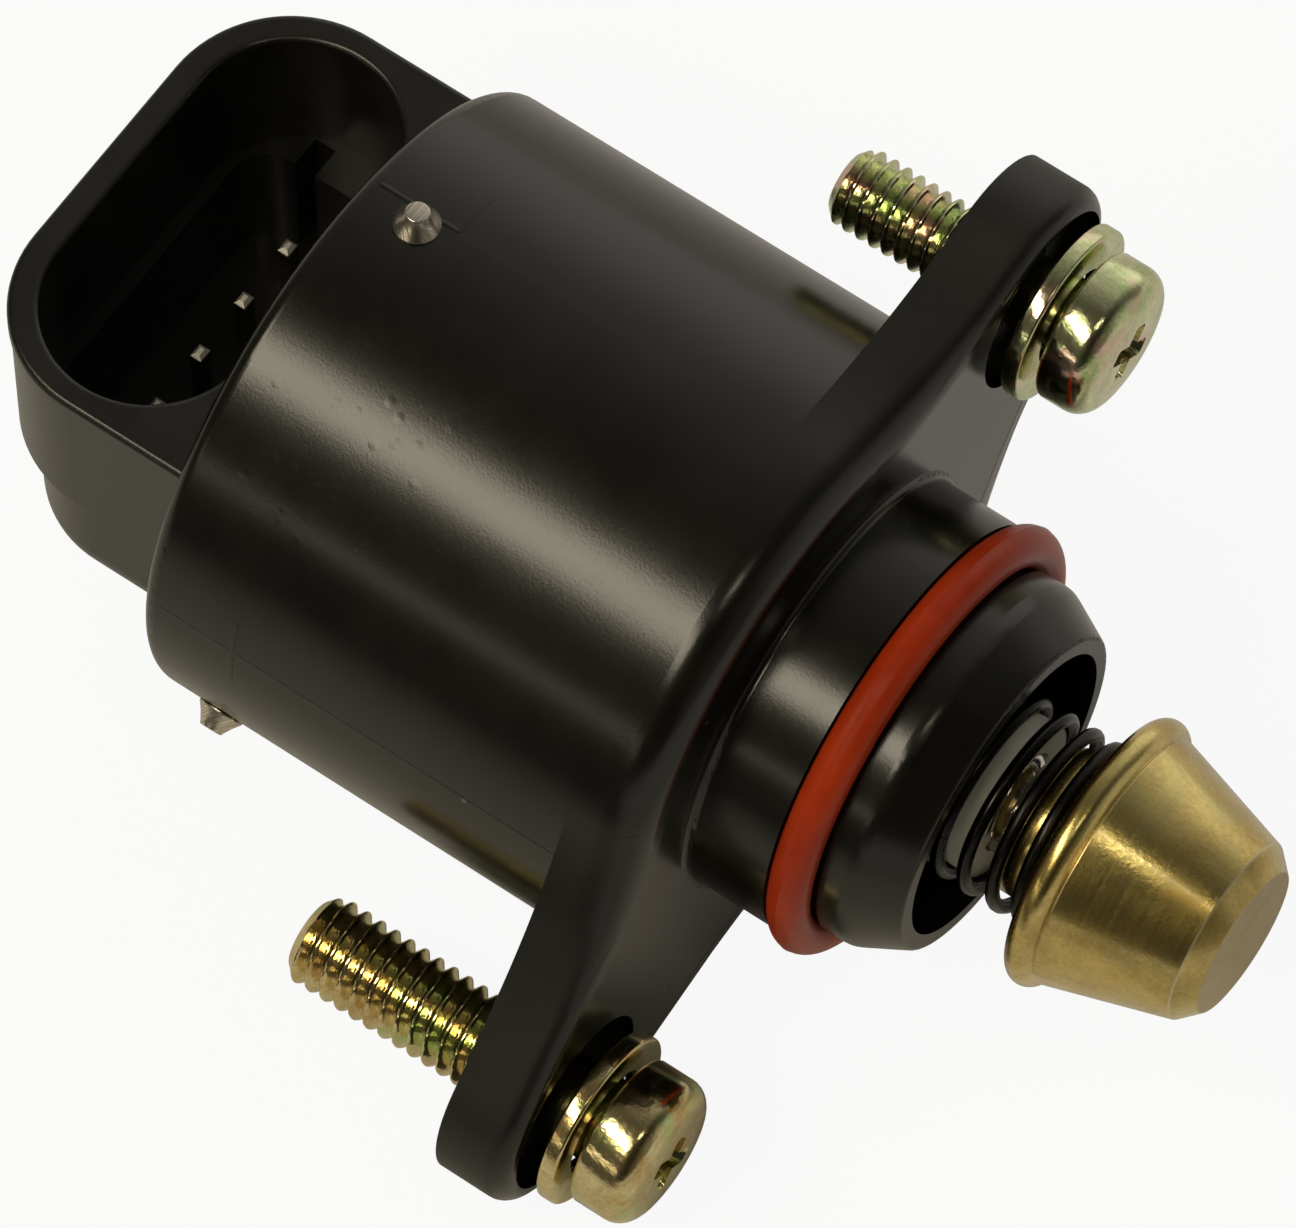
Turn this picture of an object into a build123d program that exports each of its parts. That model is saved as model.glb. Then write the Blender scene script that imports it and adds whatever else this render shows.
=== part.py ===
from build123d import *

import os
from math import asin, cos, sin, sqrt

# Idle air control valve of a car's throttle body: a small stepper motor that moves a conical pintle.
# X is the main axis, from motor to pintle, and X = 0 is the flange face that seats on the throttle body.
# Z is the way that the connector socket opens. All sizes are in millimetres and all angles in degrees.

# Moulded housing: motor body, flange with two ears, and nose
body_radius = 16.5
body_length = 24.3
body_wall = 2.0
body_rear_round = 0.9
body_front_round = 2.2
flange_thickness = 3.9
flange_edge_round = 1.1
ear_angle = 30.0
ear_root_inset = 3.2
upper_ear_radius = 5.7
upper_hole_reach = 4.5
lower_ear_radius = 6.0
lower_hole_reach = 7.0
screw_hole_radius = 2.75
counterbore_radius = 4.85
counterbore_depth = 1.6
front_wall = 3.0
spigot_radius = 11.2
spigot_root_round = 0.4
front_land_radius = 9.95
nose_length = 10.6
nose_chamfer_length = 2.5
nose_corner_round = 1.5
nose_rim_radius = 8.65
nose_rim_round = 0.3
cup_radius = 7.75
cup_floor = 2.0

# O-ring and its groove
ring_section_radius = 1.05
ring_outer_radius = 11.75
ring_place = 5.55
ring_side_gap = 0.05
ring_floor_gap = 0.03

# Connector cap: socket shell, lower block and the plug that closes the motor body
cap_depth = 13.6
cap_width = 24.6
cap_top = 8.9
cap_corner_radius = 6.6
cap_rim_height = 0.9
cap_rim_lip = 0.12
cap_rim_round = 0.35
cap_step = -1.0
cap_step_inset = 0.9
cap_bottom = -10.6
cap_bottom_round = 3.2
socket_length = 22.0
socket_width = 10.6
socket_back_wall = 1.5
ledge_height = -0.3
ledge_width = 2.3
ledge_side = 0.7
ledge_notch_width = 1.2
ledge_notch_offset = 1.7
socket_floor = -8.0
socket_floor_corner = 2.0
plug_gap = 0.05

# Terminals
terminal_count = 4
terminal_offset = 0.4
terminal_pitch = 3.6
terminal_width = 0.8
terminal_thickness = 0.64
terminal_taper = 0.2
terminal_tip = -1.7
terminal_leg = -9.2

# Retaining pins that hold the cap in the body
pin_count = 3
pin_first_angle = 84.0
pin_inset = 3.6
pin_radius = 0.65
pin_head_radius = 1.2
pin_tip_radius = 0.62
pin_proud = 1.05
pin_depth = 1.5
pin_hole_gap = 0.05

# Stator: two halves, each with a cup, a pole plate, a bobbin and a winding
stack_half = 9.1
steel = 0.8
stator_gap = 0.05
claw_count = 6
claw_thickness = 0.7
claw_width = 3.2
claw_end_gap = 0.6
half_turn_step = 15.0
bobbin_gap = 0.1
bobbin_wall = 0.6
winding_margin = 0.25
winding_depth = 3.16

# Rotor: ring magnet on a threaded nut, a front bearing and a rear bush
air_gap = 0.4
magnet_bore = 5.0
magnet_end_gap = 0.6
journal_radius = 4.0
rear_journal_radius = 3.6
journal_gap = 0.03
thrust_gap = 0.05
thrust_collar_radius = 4.9
bearing_radius = 6.4
bearing_length = 2.6
bush_wall = 1.4
bush_length = 3.0
bush_end_gap = 0.3

# Lead screw, its keyed guide, the pintle and the spring
lead_screw_radius = 2.6
lead_screw_rear = -17.0
lead_screw_grip = 6.0
thread_gap = 0.05
key_count = 2
key_width = 0.9
key_height = 0.5
key_gap = 0.1
guide_radius = 4.15
guide_front = 11.3
guide_bore_gap = 0.1
hub_radius = 3.95
hub_rear = 12.85
collar_rear = 14.6
collar_rear_radius = 5.2
collar_radius = 7.3
collar_length = 2.5
cone_radius = 6.7
cone_end_radius = 4.85
cone_length = 6.1
tip_radius = 3.87
tip_length = 1.0
spring_radius = 4.65
wire_radius = 0.36
spring_turns = 7.5
spring_end_gap = 0.06

# Screws and flat washers, put through the ears from the nose side
screw_head_radius = 3.95
screw_head_round = 0.9
screw_tip_chamfer = 0.6
thread_start_gap = 0.3
shank_relief = 0.2
recess_length = 4.0
recess_width = 0.9
recess_depth = 1.2
washer_radius = 4.65
washer_bore_gap = 0.45
washer_thickness = 0.9
upper_screw_radius = 2.1
upper_screw_length = 13.45
upper_washer_gap = 0.7
upper_head_gap = 0.55
upper_head_height = 2.7
lower_screw_radius = 2.4
lower_screw_length = 18.0
lower_washer_gap = 0.95
lower_head_gap = 0.55
lower_head_height = 3.1

# Places that follow from the sizes above
flange_back = -flange_thickness
body_rear = flange_back - body_length
stack_front = -front_wall
bearing_front = stack_front + bearing_length
stack_middle = stack_front - stack_half
stack_rear = stack_middle - stack_half
cavity_radius = body_radius - body_wall
ear_root_radius = body_radius - ear_root_inset
upper_hole_offset = body_radius + upper_hole_reach
lower_hole_offset = body_radius + lower_hole_reach
cap_rear = body_rear - cap_depth
socket_place = cap_rear + socket_back_wall + socket_width / 2
terminal_place = socket_place - terminal_offset


def rod(start, end, radius):
    """A round bar on the main axis between two places."""
    return Pos(X=(start + end) / 2) * Rot(Y=90) * Cylinder(radius, end - start)


def tube(start, end, outer, inner):
    """A round sleeve on the main axis between two places."""
    return rod(start, end, outer) - rod(start, end, inner)


def turned(*profile):
    """A solid turned about the main axis from (place, radius) points."""
    return revolve(make_face(Polyline(*profile, close=True)), Axis.X)


def around(angle, solid):
    """The solid turned about the main axis: a point on +Y goes towards +Z."""
    return Rot(X=angle) * solid


# Housing
def flank_ends(offset, ear_radius):
    """Where an ear's flank leaves the round about the axis and where it runs into the ear's end."""
    lean = asin((ear_root_radius - ear_radius) / offset)
    root = (ear_root_radius * sin(lean), ear_root_radius * cos(lean))
    end = (offset + ear_radius * sin(lean), ear_radius * cos(lean))
    return root, end


def flange_outline():
    """Both ears along the sketch's own x, their straight flanks joined by a round about the axis."""
    upper_root, upper_end = flank_ends(upper_hole_offset, upper_ear_radius)
    lower_root, lower_end = [(-x, y) for x, y in flank_ends(lower_hole_offset, lower_ear_radius)]
    flank = Polyline(upper_end, upper_root)
    flank += ThreePointArc(upper_root, (0, ear_root_radius), lower_root)
    flank += Polyline(lower_root, lower_end)
    below = mirror(flank, Plane.XZ)
    upper_tip = ThreePointArc(below @ 0, (upper_hole_offset + upper_ear_radius, 0), flank @ 0)
    lower_tip = ThreePointArc(below @ 1, (-lower_hole_offset - lower_ear_radius, 0), flank @ 1)
    return make_face([*flank.edges(), lower_tip, *below.edges(), upper_tip])


upper_hole = Rot(Z=ear_angle) * Pos(X=upper_hole_offset)
lower_hole = Rot(Z=ear_angle + 180) * Pos(X=lower_hole_offset)
ring_middle_radius = ring_outer_radius - ring_section_radius
groove_start = ring_place - ring_section_radius - ring_side_gap
groove_end = ring_place + ring_section_radius + ring_side_gap
groove_radius = ring_middle_radius - ring_section_radius - ring_floor_gap


def pin_angle(index):
    """The direction of one retaining pin, counted from +Y towards +Z."""
    return pin_first_angle + index * 360 / pin_count


def pin_place(index, radius):
    """Turns the sketch of a round piece so that it stands on the body, pointing outwards."""
    return Rot(X=pin_angle(index)) * Pos(X=body_rear + pin_inset, Y=radius) * Rot(X=-90)


def make_housing():
    """Body, flange and nose, moulded as one piece and open at the rear and in the nose."""
    outline = Rot(Z=ear_angle) * flange_outline()
    flange = extrude(Plane.YZ.offset(flange_back) * outline, flange_thickness)
    flange = fillet(flange.faces().sort_by(Axis.X)[-1].outer_wire().edges(), flange_edge_round)
    body = rod(body_rear, 0, body_radius)
    body = fillet(body.edges().filter_by(GeomType.CIRCLE).sort_by(Axis.X)[0], body_rear_round)
    body = fillet(body.edges().filter_by(GeomType.CIRCLE).sort_by(Axis.X)[-1], body_front_round)
    chamfer_start = nose_length - nose_chamfer_length
    nose = turned(
        (flange_back, 0),
        (flange_back, spigot_radius),
        (groove_start, spigot_radius),
        (groove_start, groove_radius),
        (groove_end, groove_radius),
        (groove_end, front_land_radius),
        (chamfer_start, front_land_radius),
        (nose_length, nose_rim_radius),
        (nose_length, 0),
    )
    corners = nose.edges().filter_by(GeomType.CIRCLE).sort_by(Axis.X)
    nose = fillet(corners[-1], nose_rim_round)
    rings = nose.edges().filter_by(GeomType.CIRCLE)
    corner = [ring for ring in rings if abs(ring.center().X - chamfer_start) < nose_rim_round]
    nose = fillet(corner, nose_corner_round)
    housing = body + flange + nose
    rings = housing.edges().filter_by(GeomType.CIRCLE)
    root = [ring for ring in rings if abs(ring.center().X) < spigot_root_round
            and abs(ring.radius - spigot_radius) < spigot_root_round]
    housing = fillet(root, spigot_root_round)
    housing -= rod(body_rear, stack_front, cavity_radius)
    housing -= rod(stack_front, bearing_front, bearing_radius)
    housing -= rod(bearing_front, cup_floor, guide_radius)
    housing -= rod(cup_floor, nose_length, cup_radius)
    for place in (upper_hole, lower_hole):
        housing -= extrude(Plane.YZ.offset(flange_back) * place * Circle(screw_hole_radius), flange_thickness)
        housing -= extrude(Plane.YZ * place * Circle(counterbore_radius), -counterbore_depth)
    wall = body_wall + pin_proud
    for index in range(pin_count):
        hole = Cylinder(pin_radius + pin_hole_gap, wall, align=(Align.CENTER, Align.CENTER, Align.MIN))
        housing -= pin_place(index, cavity_radius) * hole
    return housing


# Connector cap, terminals and retaining pins
plug_radius = cavity_radius - plug_gap
bush_radius = rear_journal_radius + journal_gap + bush_wall


def terminal_places():
    """The terminals' places across the socket, evenly about the middle."""
    first = -(terminal_count - 1) / 2 * terminal_pitch
    return [first + index * terminal_pitch for index in range(terminal_count)]


def make_terminal(place):
    """A square wire terminal: a blade up into the socket and a leg forward through the cap."""
    rise = terminal_tip - terminal_leg
    blade = Box(terminal_thickness, terminal_width, rise, align=(Align.CENTER, Align.CENTER, Align.MIN))
    blade = chamfer(blade.faces().sort_by(Axis.Z)[-1].edges(), terminal_taper)
    run = stack_rear - terminal_place + terminal_thickness / 2
    leg = Box(run, terminal_width, terminal_thickness, align=(Align.MIN, Align.CENTER, Align.CENTER))
    terminal = Pos(terminal_place, place, terminal_leg) * blade
    terminal += Pos(terminal_place - terminal_thickness / 2, place, terminal_leg) * leg
    return terminal


def cap_outline(width, depth, corner):
    """A block outline behind the body with its two rear corners rounded."""
    outline = Pos(X=body_rear - depth / 2) * Rectangle(depth, width)
    return fillet(outline.vertices().group_by(Axis.X)[0], corner)


def make_connector_cap(terminals):
    """Socket shell over a narrower lower block, with the plug that closes the body in front."""
    upper = cap_outline(cap_width, cap_depth, cap_corner_radius)
    cap = extrude(Plane.XY.offset(cap_step) * upper, cap_top - cap_step)
    lip = cap_outline(cap_width + 2 * cap_rim_lip, cap_depth + cap_rim_lip, cap_corner_radius + cap_rim_lip)
    cap += extrude(Plane.XY.offset(cap_top - cap_rim_height) * lip, cap_rim_height)
    lower = cap_outline(cap_width - 2 * cap_step_inset, cap_depth - cap_step_inset,
                        cap_corner_radius - cap_step_inset)
    block = extrude(Plane.XY.offset(cap_bottom) * lower, cap_step - cap_bottom)
    under = block.faces().sort_by(Axis.Z)[0].edges()
    block = fillet([edge for edge in under if edge.center().X < body_rear - plug_gap], cap_bottom_round)
    cap += block
    turn = Pos(X=socket_place) * Rot(Z=90)
    socket = turn * SlotOverall(socket_length, socket_width)
    cap -= extrude(Plane.XY.offset(ledge_height) * socket, cap_top - ledge_height)
    rim = cap.faces().sort_by(Axis.Z)[-1].edges()
    cap = fillet([edge for edge in rim if edge.center().X < body_rear - plug_gap], cap_rim_round)
    cap += rod(body_rear, stack_rear, plug_radius)
    well = turn * RectangleRounded(socket_length - 2 * ledge_width, socket_width - 2 * ledge_side,
                                   socket_floor_corner)
    notch = Pos(socket_place - ledge_notch_offset, socket_length / 4)
    well += notch * Rectangle(ledge_notch_width, socket_length / 2 - ledge_width / 2)
    cap -= extrude(Plane.XY.offset(socket_floor) * well, ledge_height - socket_floor)
    cap -= rod(stack_rear - bush_length - bush_end_gap, stack_rear, bush_radius)
    for terminal in terminals:
        cap -= terminal
    for index in range(pin_count):
        hole = Cylinder(pin_radius, pin_depth, align=(Align.CENTER, Align.CENTER, Align.MAX))
        cap -= pin_place(index, plug_radius) * hole
    return cap


def make_pin(index):
    """A cone-headed metal pin: its stem runs through the body's wall into the cap's plug."""
    inner = plug_radius - pin_depth
    upright = (Align.CENTER, Align.CENTER, Align.MIN)
    stem = Cylinder(pin_radius, body_radius - inner, align=upright)
    head = Cone(pin_head_radius, pin_tip_radius, pin_proud, align=upright)
    return pin_place(index, inner) * stem + pin_place(index, body_radius) * head


# Stator
cup_radius_outer = cavity_radius - stator_gap
cup_radius_inner = cup_radius_outer - steel
bobbin_outer = cup_radius_inner - bobbin_gap
winding_outer = bobbin_outer - winding_margin
winding_inner = winding_outer - winding_depth
bobbin_inner = winding_inner - bobbin_wall
claw_corner = bobbin_inner - bobbin_gap
claw_outer = sqrt(claw_corner**2 - (claw_width / 2) ** 2)
claw_inner = claw_outer - claw_thickness


def claws(start, end, phase):
    """Flat pole teeth round the rotor, bent along the axis from a plate at one end."""
    tooth = Box(end - start, claw_thickness, claw_width)
    place = Pos(X=(start + end) / 2, Y=claw_inner + claw_thickness / 2)
    return [around(phase + index * 360 / claw_count, place * tooth) for index in range(claw_count)]


def mirrored(solid):
    """The rear half of the stator is the front half, mirrored and turned by a quarter of a pole pitch."""
    return around(half_turn_step, mirror(solid, Plane.YZ.offset(stack_middle)))


def make_stator_cup():
    """Front cup: a deep drawn ring with teeth bent inwards from its end wall."""
    cup = tube(stack_middle, stack_front, cup_radius_outer, cup_radius_inner)
    cup += tube(stack_front - steel, stack_front, cup_radius_outer, claw_inner)
    for tooth in claws(stack_middle + steel + claw_end_gap, stack_front, 0):
        cup += tooth
    return cup


def make_pole_plate():
    """Flat ring that closes the front cup, with teeth between the cup's teeth."""
    plate = tube(stack_middle, stack_middle + steel, cup_radius_inner - stator_gap, claw_inner)
    for tooth in claws(stack_middle, stack_front - steel - claw_end_gap, 180 / claw_count):
        plate += tooth
    return plate


def make_bobbin():
    """Moulded spool of the front coil."""
    start = stack_middle + steel
    end = stack_front - steel
    bobbin = tube(start, end, bobbin_outer, bobbin_inner)
    return bobbin - tube(start + bobbin_wall, end - bobbin_wall, bobbin_outer, winding_inner)


def make_winding():
    """The front coil's turns of enamelled wire, as one ring in the spool."""
    start = stack_middle + steel + bobbin_wall
    end = stack_front - steel - bobbin_wall
    return tube(start, end, winding_outer, winding_inner)


# Rotor
magnet_radius = claw_inner - air_gap
magnet_front = stack_front - magnet_end_gap
magnet_rear = stack_rear + magnet_end_gap
nut_bore = lead_screw_radius + thread_gap


def make_rotor_nut():
    """Threaded nut inside the magnet, with a journal at each end and a thrust collar at the front bearing."""
    nut = rod(magnet_rear, magnet_front, magnet_bore)
    nut += rod(magnet_front, stack_front - thrust_gap, thrust_collar_radius)
    nut += rod(magnet_front, bearing_front - thrust_gap, journal_radius)
    nut += rod(stack_rear - bush_length, magnet_rear, rear_journal_radius)
    return nut - rod(stack_rear - bush_length, bearing_front, nut_bore)


# Lead screw, guide, pintle and spring
key_root = lead_screw_radius - key_height
hub_bore_end = hub_rear + lead_screw_grip


def key_bars(start, end, width, root):
    """Bars along the axis, evenly round it, that reach outwards from a root radius."""
    top = guide_radius - root
    bar = Box(end - start, top, width, align=(Align.MIN, Align.MIN, Align.CENTER))
    return [around(index * 360 / key_count, Pos(X=start, Y=root) * bar) for index in range(key_count)]


def make_lead_screw():
    """Steel screw with two lengthwise keyways, staked into the pintle's hub."""
    screw = rod(lead_screw_rear, hub_bore_end, lead_screw_radius)
    for bar in key_bars(lead_screw_rear, hub_rear, key_width + 2 * key_gap, key_root):
        screw -= bar
    return screw


def make_shaft_guide():
    """Plastic sleeve in the nose, whose two inner keys keep the screw from turning."""
    guide = tube(bearing_front, guide_front, guide_radius, lead_screw_radius + guide_bore_gap)
    wall = tube(bearing_front, guide_front, guide_radius, key_root + key_gap)
    for bar in key_bars(bearing_front, guide_front, key_width, key_root + key_gap):
        guide += bar & wall
    return guide


def make_pintle():
    """Turned cone with a rounded collar, a hub under the spring and a blind bore for the screw."""
    cone_start = collar_rear + collar_length
    cone_end = cone_start + cone_length
    crest = collar_rear + collar_length / 2
    flat = (collar_radius - collar_rear_radius) / 2
    shoulder = (collar_rear + flat / 2, collar_radius - flat / 2)
    profile = Polyline(
        (cone_start, cone_radius),
        (cone_end, cone_end_radius),
        (cone_end + tip_length, tip_radius),
        (cone_end + tip_length, 0),
        (hub_rear, 0),
        (hub_rear, hub_radius),
        (collar_rear, hub_radius),
        (collar_rear, collar_rear_radius),
        shoulder,
    )
    bead = ThreePointArc(shoulder, (crest, collar_radius), (cone_start, cone_radius))
    pintle = revolve(make_face([*profile.edges(), bead]), Axis.X)
    return pintle - rod(hub_rear, hub_bore_end, lead_screw_radius)


def make_spring():
    """Round wire wound from the cup's floor to the back of the pintle's collar."""
    start = cup_floor + wire_radius + spring_end_gap
    end = collar_rear - wire_radius - spring_end_gap
    path = Helix((end - start) / spring_turns, end - start, spring_radius)
    section = Plane(path @ 0, z_dir=path % 0) * RegularPolygon(wire_radius, 6)
    return Pos(X=start) * Rot(Y=90) * sweep(section, path, is_frenet=True)


# Screws and washers
def make_screw(place, radius, length, under_head, head_height):
    """Pan-headed screw with a cross recess: a plain shank in the ear, then the thread as a bar behind it."""
    tip = under_head - length
    crown = under_head + head_height
    thread_end = flange_back - thread_start_gap
    shank = radius - shank_relief
    screw = turned(
        (tip, 0),
        (tip, radius - screw_tip_chamfer),
        (tip + screw_tip_chamfer, radius),
        (thread_end, radius),
        (thread_end, shank),
        (under_head, shank),
        (under_head, screw_head_radius),
        (crown, screw_head_radius),
        (crown, 0),
    )
    screw = fillet(screw.faces().sort_by(Axis.X)[-1].edges(), screw_head_round)
    for turn in (0, 90):
        slot = Box(recess_depth, recess_length, recess_width)
        screw -= Pos(X=crown - recess_depth / 2) * Rot(X=turn) * slot
    return Plane.YZ.location * place * Plane.YZ.location.inverse() * screw


def make_washer(place, radius, gap):
    """Plain flat washer, hung on the screw just off the flange."""
    washer = tube(gap, gap + washer_thickness, washer_radius, radius + washer_bore_gap)
    return Plane.YZ.location * place * Plane.YZ.location.inverse() * washer


parts = {"housing": make_housing()}
terminals = [make_terminal(place) for place in terminal_places()]
parts["connector_cap"] = make_connector_cap(terminals)
for number, terminal in enumerate(terminals, 1):
    parts[f"terminal_{number}"] = terminal
for index in range(pin_count):
    parts[f"retaining_pin_{index + 1}"] = make_pin(index)

stator_half = {
    "stator_cup": make_stator_cup(),
    "pole_plate": make_pole_plate(),
    "coil_bobbin": make_bobbin(),
    "coil_winding": make_winding(),
}
for name, solid in stator_half.items():
    parts[f"{name}_front"] = solid
    parts[f"{name}_rear"] = mirrored(solid)

parts["rotor_magnet"] = tube(magnet_rear, magnet_front, magnet_radius, magnet_bore)
parts["rotor_nut"] = make_rotor_nut()
parts["front_bearing"] = tube(stack_front, bearing_front, bearing_radius, journal_radius + journal_gap)
parts["rear_bush"] = tube(stack_rear - bush_length, stack_rear, bush_radius, bush_radius - bush_wall)
parts["shaft_guide"] = make_shaft_guide()
parts["lead_screw"] = make_lead_screw()
parts["pintle"] = make_pintle()
parts["pintle_spring"] = make_spring()
parts["o_ring"] = Pos(X=ring_place) * Rot(Y=90) * Torus(ring_middle_radius, ring_section_radius)

upper_seat = upper_washer_gap + washer_thickness + upper_head_gap
lower_seat = lower_washer_gap + washer_thickness + lower_head_gap
parts["screw_upper"] = make_screw(
    upper_hole, upper_screw_radius, upper_screw_length, upper_seat, upper_head_height)
parts["screw_lower"] = make_screw(
    lower_hole, lower_screw_radius, lower_screw_length, lower_seat, lower_head_height)
parts["washer_upper"] = make_washer(upper_hole, upper_screw_radius, upper_washer_gap)
parts["washer_lower"] = make_washer(lower_hole, lower_screw_radius, lower_washer_gap)

os.makedirs("parts", exist_ok=True)
for name, shape in parts.items():
    export_step(shape, f"parts/{name}.step")
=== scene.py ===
from math import asin, atan2, cos, floor, hypot, pi, radians, sin

import bpy
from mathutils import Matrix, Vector


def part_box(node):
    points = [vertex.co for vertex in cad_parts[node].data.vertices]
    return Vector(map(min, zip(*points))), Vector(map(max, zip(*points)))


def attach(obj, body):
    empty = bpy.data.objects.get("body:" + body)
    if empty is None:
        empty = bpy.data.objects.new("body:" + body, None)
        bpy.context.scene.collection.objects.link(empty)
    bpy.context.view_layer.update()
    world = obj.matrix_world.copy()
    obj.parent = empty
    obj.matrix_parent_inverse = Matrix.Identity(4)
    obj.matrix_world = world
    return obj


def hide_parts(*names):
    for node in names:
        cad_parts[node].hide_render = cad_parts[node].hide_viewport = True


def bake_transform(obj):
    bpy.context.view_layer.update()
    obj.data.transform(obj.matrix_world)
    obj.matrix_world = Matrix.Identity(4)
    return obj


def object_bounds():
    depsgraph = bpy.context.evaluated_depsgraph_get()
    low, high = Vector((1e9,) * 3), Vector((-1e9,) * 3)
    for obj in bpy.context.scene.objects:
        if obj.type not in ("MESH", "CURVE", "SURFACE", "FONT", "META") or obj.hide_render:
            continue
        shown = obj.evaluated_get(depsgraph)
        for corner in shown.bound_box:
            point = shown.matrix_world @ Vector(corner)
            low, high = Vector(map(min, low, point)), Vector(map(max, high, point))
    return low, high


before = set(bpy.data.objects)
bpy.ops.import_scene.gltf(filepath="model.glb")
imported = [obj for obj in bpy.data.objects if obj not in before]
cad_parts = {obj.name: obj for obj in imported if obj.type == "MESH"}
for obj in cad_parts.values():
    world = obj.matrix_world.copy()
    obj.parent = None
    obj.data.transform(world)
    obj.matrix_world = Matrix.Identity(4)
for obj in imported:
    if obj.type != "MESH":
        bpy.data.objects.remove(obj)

cad_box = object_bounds()

# Housing: the motor body, two-ear flange and hollow nose, one black moulding of glass-filled plastic.
# It is satin to glossy, with the fine grain and dust specks of a part that has been handled.
# The solid stays; the hollow roundings at the ears' roots and the mould's low lines are added to it.
MM = 0.001


def add_node(tree, kind, settings=None, **sockets):
    """Adds a shader node; a named socket is linked where it is given another socket, and set otherwise."""
    node = tree.nodes.new("ShaderNode" + kind)
    for name, value in (settings or {}).items():
        setattr(node, name, value)
    for name, value in sockets.items():
        socket = node.inputs[int(name[1:]) if name[1:].isdigit() else name.replace("_", " ")]
        if isinstance(value, bpy.types.NodeSocket):
            tree.links.new(value, socket)
        else:
            socket.default_value = value
    return node


def calculate(tree, operation, first, second=0.0):
    """A Math node's result."""
    return add_node(tree, "Math", {"operation": operation}, _0=first, _1=second).outputs[0]


def spread(tree, value, low, high, to_low=0.0, to_high=1.0):
    """The value's range from low to high, stretched to another range and held at its ends."""
    node = add_node(tree, "MapRange", None, Value=value, From_Min=low, From_Max=high,
                    To_Min=to_low, To_Max=to_high)
    return node.outputs["Result"]


def mix_colour(tree, factor, first, second):
    """Two colours, mixed by a factor."""
    node = add_node(tree, "Mix", {"data_type": "RGBA"}, _0=factor, _6=first, _7=second)
    return node.outputs[2]


def new_group(name, inputs, outputs):
    """An empty shader node group with its named sockets: (name, type, default) in and (name, type) out."""
    group = bpy.data.node_groups.new(name, "ShaderNodeTree")
    for label, kind, default in inputs:
        socket = group.interface.new_socket(label, in_out="INPUT", socket_type="NodeSocket" + kind)
        socket.default_value = default
    for label, kind in outputs:
        group.interface.new_socket(label, in_out="OUTPUT", socket_type="NodeSocket" + kind)
    return group, group.nodes.new("NodeGroupInput").outputs, group.nodes.new("NodeGroupOutput").inputs


def new_material(name, **constants):
    """A node material whose Principled shader has these constants; gives it with its tree and shader."""
    material = bpy.data.materials.new(name)
    material.use_nodes = True
    shader = material.node_tree.nodes["Principled BSDF"]
    for socket, value in constants.items():
        shader.inputs[socket.replace("_", " ")].default_value = value
    return material, material.node_tree, shader


def use_group(tree, group, **values):
    """Places a node group in a material with its own values, and gives its outputs."""
    node = add_node(tree, "Group", {"node_tree": group}, **values)
    return node.outputs


def surface_place(tree):
    """Where a point of the surface lies: its X, Y and Z in metres."""
    return add_node(tree, "SeparateXYZ", None, Vector=add_node(tree, "TexCoord").outputs["Object"]).outputs


def scattered_dots(tree, place, fineness, left_out, core, rim):
    """Dots in the cells of a random pattern, fading from core to rim; a share of the cells is left out."""
    cells = add_node(tree, "TexVoronoi", None, Vector=place, Scale=fineness)
    dot = spread(tree, cells.outputs["Distance"], core, rim, 1.0, 0.0)
    chance = add_node(tree, "SeparateColor", None, Color=cells.outputs["Color"]).outputs[0]
    return calculate(tree, "MULTIPLY", dot, spread(tree, chance, left_out, left_out + 0.02))


def moulded_surface():
    """Grain of a plastic moulding: slow blotches of shade and gloss, fine grain, and stray specks."""
    group, given, out = new_group(
        "moulded_surface",
        [("Roughness", "Float", 0.3), ("Variation", "Float", 0.1), ("Grain", "Float", 0.1),
         ("Specks", "Float", 0.5)],
        [("Shade", "Float"), ("Roughness", "Float"), ("Specks", "Float"), ("Normal", "Vector")],
    )
    place = add_node(group, "TexCoord").outputs["Object"]
    blotches = add_node(group, "TexNoise", None, Vector=place, Scale=260.0, Detail=4.0,
                        Roughness=0.6).outputs[0]
    grain = add_node(group, "TexNoise", None, Vector=place, Scale=7000.0, Detail=2.0).outputs[0]
    dots = scattered_dots(group, place, 330.0, 0.72, 0.035, 0.06)
    specks = calculate(group, "MULTIPLY", dots, given["Specks"])
    drift = calculate(group, "MULTIPLY", calculate(group, "SUBTRACT", blotches, 0.5), given["Variation"])
    fine = calculate(group, "MULTIPLY", calculate(group, "SUBTRACT", grain, 0.5), given["Variation"])
    rough = calculate(group, "ADD", calculate(group, "ADD", given["Roughness"], drift), fine)
    height = calculate(group, "ADD", grain, calculate(group, "MULTIPLY", specks, 2.0))
    bump = add_node(group, "Bump", None, Strength=given["Grain"], Distance=0.03 * MM, Height=height)
    group.links.new(blotches, out["Shade"])
    rough = calculate(group, "ADD", rough, calculate(group, "MULTIPLY", specks, 0.25))
    group.links.new(rough, out["Roughness"])
    group.links.new(specks, out["Specks"])
    group.links.new(bump.outputs[0], out["Normal"])
    return group


def moulding(name, dark, light, roughness, variation=0.12, grain=0.25, specks=0.6):
    """Moulded plastic: its colour drifts between two shades and its gloss with them."""
    material, tree, shader = new_material(name)
    surface = use_group(tree, moulded, Roughness=roughness, Variation=variation, Grain=grain, Specks=specks)
    shade = spread(tree, surface["Shade"], 0.35, 0.65)
    plain = mix_colour(tree, shade, (*dark, 1), (*light, 1))
    dust = (0.2, 0.19, 0.17, 1)
    tree.links.new(mix_colour(tree, surface["Specks"], plain, dust), shader.inputs["Base Color"])
    tree.links.new(surface["Roughness"], shader.inputs["Roughness"])
    tree.links.new(surface["Normal"], shader.inputs["Normal"])
    return material


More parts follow.
